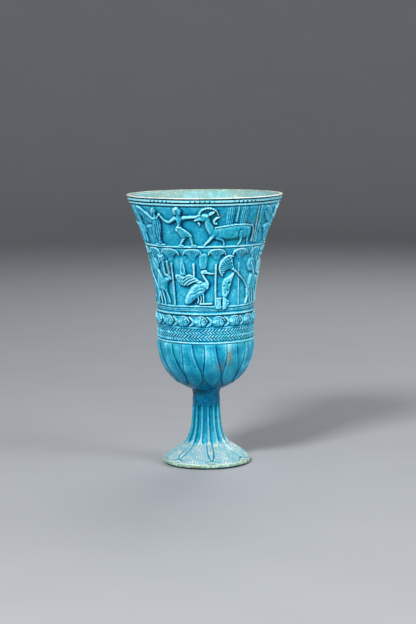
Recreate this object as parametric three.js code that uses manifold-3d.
// A footed lotus chalice in turquoise glazed faience: a bell-shaped cup with a flaring mouth, ring mouldings,
// two registers of figures over a band of fish and a calyx of sepals, all in low relief. It is luted with
// paste onto a fluted stem that spreads into a hollow foot.
// Millimetres, +Z up. The origin is the centre of the foot's underside, on the table, and -Y is the front.
import * as THREE from "three";
import Module from "manifold-3d";

const wasm = await Module();
wasm.setup();

const FULL_TURN = Math.PI * 2;
const QUARTER_TURN = Math.PI / 2;
const FRONT = -QUARTER_TURN;

// The foot, moulded in one with the stem. Each rise is measured above the station below it, and each inset
// inwards from the foot's edge.
const foot = {
  radius: 23.6,
  standInset: 0.7,
  standWidth: 3.9,
  edgeRise: 2.4,
  apronInset: 4.7,
  apronRise: 4,
  throatRadius: 12.8,
  throatRise: 4,
  vaultRadius: 9.5,
  vaultRise: 8.4,
  crownRadius: 3.4,
  crownRise: 7.1,
};
const stem = {
  rootRadius: 9.7,
  rootRise: 5.3,
  waistRadius: 8.1,
  waistRise: 6.8,
  topRadius: 7.3,
  topRise: 9.9,
  fluteCount: 14,
  fluteDepth: 0.75,
  fluteRunout: 1.6,
  fluteTurn: THREE.MathUtils.degToRad(7.6),
};

// The paste that joins the two, a collar that shows between cup and stem and a sleeve that beds the tenon.
const lute = {
  collarRise: 7.9,
  collarRadius: 7.3,
  flareRadius: 7.9,
  flareRise: 2.4,
  filmThickness: 0.7,
  clearance: 0.1,
  undersideGap: 0.8,
};

// The cup, with the tenon under its bowl.
const cup = {
  tenonRadius: 3.4,
  tenonLength: 15,
  bowlRadius: 25.6,
  bowlDepth: 27,
  waistRise: 14,
  flareRise: 65,
  mouthRadius: 41.5,
  flarePower: 2,
  seatRadius: 7.9,
  wall: 2.6,
  floorThickness: 6.5,
  lipRise: 0.9,
  lipProud: 0.45,
};
const calyx = {
  sepalCount: 13,
  proud: 0.5,
  stepWidth: 0.35,
  turn: THREE.MathUtils.degToRad(4.7),
  lean: THREE.MathUtils.degToRad(7),
};

// The mouldings round the cup, from the mouth down, each with its drop below the mouth's top.
const mouldings = {
  beadRing: { drop: 1.75, halfWidth: 0.6, proud: 0.45 },
  rimRing: { drop: 3.2, halfWidth: 0.55, proud: 0.5 },
  registerRing: { drop: 25.9, halfWidth: 0.75, proud: 0.6 },
  groundLine: { drop: 57.7, halfWidth: 0.7, proud: 0.45 },
  waterlineRing: { drop: 61.7, halfWidth: 0.7, proud: 0.6 },
  fishRing: { drop: 68.9, halfWidth: 0.4, proud: 0.4 },
  calyxRing: { drop: 77, halfWidth: 0.65, proud: 0.55 },
};

// Figures are straps of clay that stand proud of the wall. Their sides widen by the draft towards their
// roots, which are sunk into the wall.
const relief = {
  proud: 0.66,
  sunk: 0.6,
  draft: 0.12,
};

// Sizes and heights above the table that follow from the sizes above
const standRadius = foot.radius - foot.standInset;
const hollowRadius = standRadius - foot.standWidth;
const apronRadius = foot.radius - foot.apronInset;
const apronHeight = foot.edgeRise + foot.apronRise;
const throatHeight = apronHeight + foot.throatRise;
const hollowCrownHeight = foot.vaultRise + foot.crownRise;
const stemRootHeight = throatHeight + stem.rootRise;
const stemWaistHeight = stemRootHeight + stem.waistRise;
const stemTopHeight = stemWaistHeight + stem.topRise;
const seatHeight = stemTopHeight + lute.collarRise;
const tenonTipHeight = seatHeight - cup.tenonLength;
const tenonHoleRadius = cup.tenonRadius + lute.clearance;
const sleeveRadius = tenonHoleRadius + lute.filmThickness;
const socketRadius = sleeveRadius + lute.clearance;
const socketFloorHeight = tenonTipHeight - lute.undersideGap;
const cupFloorHeight = seatHeight + cup.floorThickness;
const bowlTopHeight = seatHeight + cup.bowlDepth - bowlSeatLoss();
const flareFootHeight = bowlTopHeight + cup.waistRise;
const mouthHeight = flareFootHeight + cup.flareRise;
const calyxTopHeight = mouthHeight - mouldings.calyxRing.drop - mouldings.calyxRing.halfWidth;

// The bowl is an ellipse cut off where it meets the collar, so its full depth is reached below the seat.
function bowlSeatLoss() {
  const seatShare = cup.seatRadius / cup.bowlRadius;
  return cup.bowlDepth * (1 - Math.sqrt(1 - seatShare * seatShare));
}

// Solids skinned over rings

// A closed solid skinned over rings of points, each a list of {angle, radius, height} in the same order. The
// first and last rings are single points. Where two rings differ in their number of points, the skin steps
// on along whichever of them is behind.
function skinRings(rings) {
  const positions = [];
  const starts = rings.map((ring) => {
    const start = positions.length / 3;
    for (const { angle, radius, height } of ring) {
      positions.push(radius * Math.cos(angle), radius * Math.sin(angle), height);
    }
    return start;
  });
  const indices = [];
  for (let row = 0; row + 1 < rings.length; row += 1) {
    const [lowCount, highCount] = [rings[row].length, rings[row + 1].length];
    const low = (step) => starts[row] + (step % lowCount);
    const high = (step) => starts[row + 1] + (step % highCount);
    const lowSteps = lowCount > 1 ? lowCount : 0;
    const highSteps = highCount > 1 ? highCount : 0;
    let [lowStep, highStep] = [0, 0];
    while (lowStep < lowSteps || highStep < highSteps) {
      const lowIsBehind = lowStep * highSteps <= highStep * lowSteps;
      if (lowStep < lowSteps && (lowIsBehind || highStep === highSteps)) {
        indices.push(low(lowStep), low(lowStep + 1), high(highStep));
        lowStep += 1;
      } else {
        indices.push(low(lowStep), high(highStep + 1), high(highStep));
        highStep += 1;
      }
    }
  }
  return closedGeometry(positions, indices);
}

function closedGeometry(positions, indices) {
  const geometry = new THREE.BufferGeometry();
  geometry.setAttribute("position", new THREE.Float32BufferAttribute(positions, 3));
  geometry.setIndex(Array.from(indices));
  geometry.computeVertexNormals();
  return geometry;
}

// Several closed geometries joined into one.
function join(geometries) {
  const solids = geometries.map((geometry) => {
    const vertProperties = geometry.getAttribute("position").array;
    const triVerts = new Uint32Array(geometry.index.array);
    return new wasm.Manifold(new wasm.Mesh({ numProp: 3, vertProperties, triVerts }));
  });
  const { vertProperties, triVerts } = wasm.Manifold.union(solids).getMesh();
  return closedGeometry(vertProperties, triVerts);
}

function axisPoint(height) {
  return [{ angle: 0, radius: 0, height }];
}

// Angles evenly spread round the axis, from a first angle on.
function evenAngles(count, firstAngle) {
  return Array.from({ length: count }, (_, column) => firstAngle + (column / count) * FULL_TURN);
}

function plainRing(angles, radius, height) {
  return angles.map((angle) => ({ angle, radius, height }));
}

// A smooth outline through stations of [radius, height], as {radius, height} points.
function smoothOutline(stations, steps) {
  const curve = new THREE.CatmullRomCurve3(
    stations.map(([radius, height]) => new THREE.Vector3(radius, height, 0)),
    false,
    "centripetal",
  );
  return curve.getPoints(steps).map((point) => ({ radius: point.x, height: point.y }));
}

// The cup

const sepalPitch = FULL_TURN / calyx.sepalCount;
const columnsPerSepal = { tenon: 2, seat: 6, wall: 4, inside: 3 };

// A plain ring of the cup, which a turn sets round the axis to follow the lean of the sepals.
function cupRing(radius, height, columns = columnsPerSepal.wall, turn = 0) {
  const firstAngle = FRONT + calyx.turn - sepalPitch / 2 + turn;
  return plainRing(evenAngles(calyx.sepalCount * columns, firstAngle), radius, height);
}

// The cup's outside radius without its carving: an elliptical bowl, a straight waist and a power-curve flare.
function wallRadius(height) {
  if (height < bowlTopHeight) {
    const down = Math.min(1, (bowlTopHeight - height) / cup.bowlDepth);
    return cup.bowlRadius * Math.sqrt(1 - down * down);
  }
  const up = Math.max(0, (height - flareFootHeight) / cup.flareRise);
  return cup.bowlRadius + (cup.mouthRadius - cup.bowlRadius) * up ** cup.flarePower;
}

// Half the width of a sepal, as a share of the pitch between sepals, against the share of the way down the
// bowl's arc: a straight neck under the calyx ring, a full belly, and a round end near the stem.
const sepalOutlineShares = [
  [0, 0.26],
  [0.14, 0.27],
  [0.25, 0.34],
  [0.36, 0.44],
  [0.46, 0.4],
  [0.55, 0.24],
  [0.6, 0.04],
];
const sepalEndShare = sepalOutlineShares[sepalOutlineShares.length - 1][0];
const sepalNeckShare = sepalOutlineShares[0][1];

function sepalHalfWidthShare(downShare) {
  const next = sepalOutlineShares.findIndex(([down]) => down >= downShare);
  const [lowDown, lowWidth] = sepalOutlineShares[next - 1];
  const [highDown, highWidth] = sepalOutlineShares[next];
  return lowWidth + ((highWidth - lowWidth) * (downShare - lowDown)) / (highDown - lowDown);
}

// A ring of the calyx, with six columns to a sepal: its valley, the foot and top of one side's step, its
// middle, and the top and foot of the other side's step. The tops and the middle stand proud, square to the
// bowl, whose slope is down. The sepals lean over round the axis as they go down.
function carvedRing(halfWidthShare, downShare, radius, height, proud) {
  const half = halfWidthShare * sepalPitch;
  const step = Math.min(calyx.stepWidth / radius, half, sepalPitch / 2 - half) / 2;
  const offsets = [-sepalPitch / 2, -half - step, -half + step, 0, half - step, half + step];
  const lifts = [0, 0, proud, proud, proud, 0];
  const down = downShare * QUARTER_TURN;
  const turn = FRONT + calyx.turn + leanAt(downShare);
  return Array.from({ length: calyx.sepalCount }, (_, sepal) =>
    offsets.map((offset, place) => ({
      angle: turn + sepal * sepalPitch + offset,
      radius: radius + lifts[place] * Math.cos(down),
      height: height - lifts[place] * Math.sin(down),
    })),
  ).flat();
}

function leanAt(downShare) {
  return calyx.lean * Math.min(1, downShare / sepalEndShare);
}

// The carved bowl, from its seat up to the calyx ring.
const calyxRingShares = [0.55, 0.46, 0.36, 0.25, 0.14, 0.04];
const underSepalsShare = 0.68;

function calyxRings(topHeight) {
  const radiusAt = (downShare) => cup.bowlRadius * Math.cos(downShare * QUARTER_TURN);
  const heightAt = (downShare) => bowlTopHeight - cup.bowlDepth * Math.sin(downShare * QUARTER_TURN);
  const carved = (downShare, halfWidthShare, proud) =>
    carvedRing(halfWidthShare, downShare, radiusAt(downShare), heightAt(downShare), proud);
  const sepalTipShare = sepalHalfWidthShare(sepalEndShare);
  const underSepals = (radius, height) => cupRing(radius, height, columnsPerSepal.seat, calyx.lean);
  return [
    underSepals(cup.seatRadius, seatHeight),
    underSepals(radiusAt(underSepalsShare), heightAt(underSepalsShare)),
    carved(sepalEndShare, sepalTipShare, calyx.proud / 2),
    ...calyxRingShares.map((share) => carved(share, sepalHalfWidthShare(share), calyx.proud)),
    carvedRing(sepalNeckShare, 0, wallRadius(topHeight), topHeight, calyx.proud),
  ];
}

// The outside above the calyx: each moulding is a low round ridge, with plain rings between at no more than
// the longest run.
const longestRunShare = 1 / 4;

function wallRings() {
  const stations = [];
  for (const { drop, halfWidth, proud } of Object.values(mouldings).reverse()) {
    const height = mouthHeight - drop;
    stations.push({ height: height - halfWidth, proud: 0 });
    stations.push({ height, proud });
    stations.push({ height: height + halfWidth, proud: 0 });
  }
  const longestRun = cup.flareRise * longestRunShare;
  const rings = [];
  stations.forEach(({ height, proud }, index) => {
    const below = index > 0 ? stations[index - 1].height : height;
    const runs = Math.ceil((height - below) / longestRun);
    for (let run = 1; run < runs; run += 1) {
      const between = below + ((height - below) * run) / runs;
      rings.push(cupRing(wallRadius(between), between));
    }
    rings.push(cupRing(wallRadius(height) + proud, height));
  });
  return rings;
}

// The lip, a round roll of clay that is proud of the wall outside and thins to the wall inside.
const lipRoundShare = 1 / 4;

function lipRings() {
  const under = mouthHeight - cup.lipRise;
  const middle = mouthHeight - cup.lipRise / 2;
  const inside = wallRadius(mouthHeight) - cup.wall;
  return [
    cupRing(wallRadius(under), under),
    cupRing(wallRadius(middle) + cup.lipProud, middle),
    cupRing(wallRadius(mouthHeight), mouthHeight),
    cupRing(inside + cup.wall * lipRoundShare, mouthHeight),
    cupRing(inside, middle),
  ];
}

// The inside follows the outside at one wall's thickness, and rounds into a floor over the thick bowl.
function insideRings() {
  const floorRadius = cup.bowlRadius - cup.wall;
  const floorDepth = bowlTopHeight - cupFloorHeight;
  const flareSteps = 5;
  const bowlSteps = 6;
  const insideRing = (radius, height) => cupRing(radius, height, columnsPerSepal.inside);
  const rings = [];
  for (let step = 1; step <= flareSteps; step += 1) {
    const height = mouthHeight - (cup.flareRise * step) / flareSteps;
    rings.push(insideRing(wallRadius(height) - cup.wall, height));
  }
  for (let step = 0; step < bowlSteps; step += 1) {
    const down = (QUARTER_TURN * step) / bowlSteps;
    rings.push(insideRing(floorRadius * Math.cos(down), bowlTopHeight - floorDepth * Math.sin(down)));
  }
  return rings;
}

function cupBodyGeometry() {
  const tenonRing = (height) => cupRing(cup.tenonRadius, height, columnsPerSepal.tenon, calyx.lean);
  return skinRings([
    axisPoint(tenonTipHeight),
    tenonRing(tenonTipHeight),
    tenonRing(seatHeight),
    ...calyxRings(calyxTopHeight - calyx.stepWidth),
    ...wallRings(),
    ...lipRings(),
    ...insideRings(),
    axisPoint(cupFloorHeight),
  ]);
}

// The figures on the cup

// A register is the band between two mouldings, divided round the axis into copies of one scene.
function register(under, over, copies, turn = 0) {
  const low = mouthHeight - under.drop + under.halfWidth;
  const high = mouthHeight - over.drop - over.halfWidth;
  const middleRadius = wallRadius((low + high) / 2);
  return { low, rise: high - low, middleRadius, copies, turn, arc: FULL_TURN / copies };
}

const upperRegister = register(mouldings.registerRing, mouldings.rimRing, 3);
const lowerRegister = register(mouldings.groundLine, mouldings.registerRing, 3);
const fishBand = register(mouldings.fishRing, mouldings.waterlineRing, 19, THREE.MathUtils.degToRad(-9));

// A strap runs through stations of [turn, rise, half width]: the turn is a share of the scene's arc, from its
// middle, and the other two are shares of the register's rise. A station without a width is a tip. In each
// figure the first strap lies on top.
const herdsmanShares = [
  [[-0.175, 0.73, 0.135], [-0.175, 0.49, 0.06], [-0.166, 0.26, 0.215]],
  [[-0.18, 0.95, 0.05], [-0.179, 0.86, 0.085], [-0.174, 0.72, 0.04]],
  [[-0.146, 0.715, 0.045], [-0.03, 0.765, 0]],
  [[-0.2, 0.7, 0.045], [-0.258, 0.59, 0.036], [-0.332, 0.79, 0]],
  [[-0.128, 0.3, 0.055], [-0.082, 0, 0]],
  [[-0.182, 0.29, 0.06], [-0.17, 0.17, 0.042], [-0.2, -0.02, 0]],
];
const beastShares = [
  [[0.035, 0.715, 0.065], [-0.045, 0.68, 0.05], [-0.092, 0.615, 0]],
  [[0.04, 0.42, 0.1], [0.015, 0.72, 0.065]],
  [[-0.033, 0.77, 0.038], [-0.016, 0.92, 0.037], [0.05, 0.94, 0.035], [0.094, 0.72, 0]],
  [[0.03, 0.375, 0.1], [0.125, 0.38, 0.17], [0.25, 0.39, 0.185], [0.362, 0.39, 0.12]],
  [[0.067, 0.3, 0.06], [-0.006, 0, 0]],
  [[0.285, 0.29, 0.065], [0.278, -0.03, 0]],
  [[0.142, 0.26, 0.05], [0.151, -0.03, 0]],
  [[0.345, 0.29, 0.065], [0.37, -0.03, 0]],
];
const treesShares = [
  [[0.173, 0.97, 0.07], [0.173, 0.8, 0.1], [0.173, 0.56, 0.05]],
  [[0.279, 0.97, 0.07], [0.279, 0.8, 0.1], [0.279, 0.56, 0.05]],
  [[0.436, 0.98, 0.1], [0.443, 0.5, 0.07], [0.45, 0, 0.045]],
];
const wingedLadyShares = [
  [[-0.366, 0.9, 0.06], [-0.362, 0.7, 0.04]],
  [[-0.353, 0.7, 0.085], [-0.388, 0.4, 0.17], [-0.387, 0.02, 0.1]],
  [[-0.555, 0.89, 0.07], [-0.467, 0.7, 0.1], [-0.378, 0.57, 0.055]],
];

// The thicket of the lower register: umbels on stems that start at a rise of their own, and keep to the wall's
// flare by a station half way up
const umbelPlaceShares = [[-0.308, 0], [-0.102, 0.5], [0.103, 0], [0.312, 0], [0.502, 0.6]];
const umbelOutlineShares = [[0.42, 0.024], [0.78, 0.03], [0.92, 0.155], [0.985, 0.1]];
const umbelsShares = umbelPlaceShares.map(([turn, stemRise]) => [
  [turn, stemRise, 0.018],
  ...umbelOutlineShares.filter(([rise]) => rise > stemRise).map(([rise, half]) => [turn, rise, half]),
]);
const flowersShares = [
  [[-0.017, 0.91, 0.068], [-0.017, 0.64, 0.06]],
  [[-0.396, 0.9, 0.06], [-0.396, 0.75, 0.06]],
  [[0.47, 0.78, 0.09], [0.467, 0.59, 0.09]],
];
const waterBirdShares = [
  [[-0.023, 0.585, 0.036], [0.015, 0.578, 0.03], [0.1, 0.55, 0]],
  [[0.014, 0.35, 0.036], [0.01, 0.44, 0.028], [-0.02, 0.56, 0.026]],
  [[-0.035, 0.4, 0.03], [-0.15, 0.45, 0.09], [-0.285, 0.485, 0.04]],
  [[0.006, 0.33, 0.08], [-0.1, 0.22, 0.1], [-0.2, 0.055, 0.035]],
  [[-0.02, 0.22, 0.018], [-0.018, -0.04, 0]],
  [[-0.067, 0.16, 0.018], [-0.073, -0.04, 0]],
];
const calfShares = [
  [[-0.553, 0.35, 0.12], [-0.46, 0.35, 0.14], [-0.352, 0.43, 0.045]],
  [[-0.52, 0.245, 0.03], [-0.484, -0.03, 0]],
  [[-0.413, 0.245, 0.03], [-0.36, 0, 0]],
];
const drawnTrapShares = [
  [[0.264, 0.605, 0.02], [0.15, 0.715, 0.16]],
  [[0.275, 0.585, 0.022], [0.39, 0.41, 0.02], [0.485, 0.14, 0.02]],
  [[0.277, 0.58, 0], [0.225, 0.37, 0.085], [0.203, 0.14, 0.05]],
  [[0.126, 0, 0.055], [0.126, 0.135, 0.055]],
];
const fishShares = [
  [[0.47, 0.47, 0], [0.05, 0.53, 0.42], [-0.5, 0.33, 0]],
];

// A figure's straps, each a layer lower than the one before it, in one copy of the scene.
const layerShare = 0.07;

function figureGeometries(figureShares, band, copy) {
  const turn = FRONT + band.turn + copy * band.arc;
  return figureShares.map((stations, layer) =>
    strapGeometry(stations, band, turn, relief.proud * (1 - layer * layerShare)),
  );
}

// A strap that follows the wall through its stations. Where it is wide, it has a middle line of points too,
// so that it keeps to the wall's curve. A tip lies just under the wall's surface, and a blunt end closes in
// one point at the roots.
const wideTurnShare = 1 / 50;
const tipDepthShare = 1 / 6;

function strapGeometry(stations, band, turn, proud) {
  const spine = stations.map(([turnShare, riseShare, halfShare]) => ({
    across: turnShare * band.arc * band.middleRadius,
    height: band.low + riseShare * band.rise,
    half: halfShare * band.rise,
  }));
  const sides = spine.map((_, index) => {
    const before = spine[Math.max(0, index - 1)];
    const after = spine[Math.min(spine.length - 1, index + 1)];
    return new THREE.Vector2(after.height - before.height, before.across - after.across).normalize();
  });
  const point = ({ across, height }, side, reach, lift) => {
    const placedHeight = height + side.y * reach;
    return {
      angle: turn + (across + side.x * reach) / band.middleRadius,
      radius: wallRadius(placedHeight) + lift,
      height: placedHeight,
    };
  };
  const widest = Math.max(...spine.map(({ half }, index) => Math.abs(sides[index].x) * half));
  const isWide = widest > wideTurnShare * FULL_TURN * band.middleRadius;
  const rings = spine.map((station, index) => {
    const side = sides[index];
    const top = station.half - relief.draft;
    const root = station.half + relief.draft;
    if (station.half === 0) return [point(station, side, 0, -relief.sunk * tipDepthShare)];
    return [
      point(station, side, -top, proud),
      ...(isWide ? [point(station, side, 0, proud)] : []),
      point(station, side, top, proud),
      point(station, side, root, -relief.sunk),
      point(station, side, -root, -relief.sunk),
    ];
  });
  const bluntEnd = (index) =>
    rings[index].length > 1 ? [[point(spine[index], sides[index], 0, -relief.sunk)]] : [];
  return skinRings([...bluntEnd(0), ...rings, ...bluntEnd(spine.length - 1)]);
}

// The cup's body with every figure in every copy of its scene.
function cupGeometry() {
  const upperFigures = [herdsmanShares, beastShares, treesShares, wingedLadyShares];
  const lowerFigures = [umbelsShares, flowersShares, waterBirdShares, calfShares, drawnTrapShares];
  const bands = [
    [upperRegister, upperFigures],
    [lowerRegister, lowerFigures],
    [fishBand, [fishShares]],
  ];
  const straps = bands.flatMap(([band, figures]) =>
    Array.from({ length: band.copies }, (_, copy) =>
      figures.flatMap((figureShares) => figureGeometries(figureShares, band, copy)),
    ).flat(),
  );
  return join([cupBodyGeometry(), ...straps]);
}

// The fluted stem and foot

const columnsPerFlute = 4;
const stemAngles = evenAngles(stem.fluteCount * columnsPerFlute, FRONT + stem.fluteTurn);
const fluteEndHeight = stemTopHeight - stem.fluteRunout / 2;
const stemOutlineSteps = 12;
const stemOutline = smoothOutline(
  [
    [foot.radius, foot.edgeRise],
    [apronRadius, apronHeight],
    [foot.throatRadius, throatHeight],
    [stem.rootRadius, stemRootHeight],
    [stem.waistRadius, stemWaistHeight],
    [stem.topRadius, fluteEndHeight],
  ],
  stemOutlineSteps,
);

// The vault under the foot, from its crown down to the standing ring.
const hollowOutlineSteps = 4;
const hollowOutline = smoothOutline(
  [
    [foot.crownRadius, hollowCrownHeight],
    [foot.vaultRadius, foot.vaultRise],
    [hollowRadius, 0],
  ],
  hollowOutlineSteps,
);

function stemRing(radius, height) {
  return plainRing(stemAngles, radius, height);
}

// How deep a flute is at a height: full between its two runouts, on the foot's apron and under the collar.
function fluteDepthAt(height) {
  const fromTop = (fluteEndHeight - height) / stem.fluteRunout;
  const fromApron = (height - apronHeight) / foot.throatRise;
  return stem.fluteDepth * THREE.MathUtils.clamp(Math.min(fromTop, fromApron), 0, 1);
}

// A ring of the stem: each flute has its sharp ridge, and a hollow of three columns.
const fluteHollowShares = [0, 0.85, 1, 0.85];

function fluteRing(radius, height) {
  const depth = fluteDepthAt(height);
  return stemRing(radius, height).map((point, column) => ({
    ...point,
    radius: radius - depth * fluteHollowShares[column % columnsPerFlute],
  }));
}

function stemFootGeometry() {
  return skinRings([
    axisPoint(hollowCrownHeight),
    ...hollowOutline.map(({ radius, height }) => stemRing(radius, height)),
    stemRing(standRadius, 0),
    ...stemOutline.map(({ radius, height }) => fluteRing(radius, height)),
    stemRing(stem.topRadius, stemTopHeight),
    stemRing(socketRadius, stemTopHeight),
    stemRing(socketRadius, socketFloorHeight),
    axisPoint(socketFloorHeight),
  ]);
}

// The luting paste: a closed half section turned round the axis

const columnsPerFluteOfLute = 3;

function luteGeometry() {
  const section = [
    [tenonHoleRadius, tenonTipHeight],
    [sleeveRadius, tenonTipHeight],
    [sleeveRadius, stemTopHeight],
    [lute.collarRadius, stemTopHeight],
    [lute.collarRadius, seatHeight - lute.flareRise],
    [lute.flareRadius, seatHeight],
    [tenonHoleRadius, seatHeight],
    [tenonHoleRadius, tenonTipHeight],
  ];
  const points = section.map(([radius, height]) => new THREE.Vector2(radius, height));
  return new THREE.LatheGeometry(points, stem.fluteCount * columnsPerFluteOfLute).rotateX(QUARTER_TURN);
}

// The assembly

function faience(name, color, roughness) {
  return new THREE.MeshStandardMaterial({ name, color, roughness, metalness: 0 });
}

function piece(name, geometry, material) {
  const mesh = new THREE.Mesh(geometry, material);
  mesh.name = name;
  return mesh;
}

const chalice = new THREE.Group();
chalice.add(
  piece("cup", cupGeometry(), faience("turquoise glaze", 0x2aa3c4, 0.35)),
  piece("luting_collar", luteGeometry(), faience("deep turquoise glaze", 0x0f7fa8, 0.32)),
  piece("stem_foot", stemFootGeometry(), faience("pale turquoise glaze", 0x46adc4, 0.4)),
);

export default chalice;
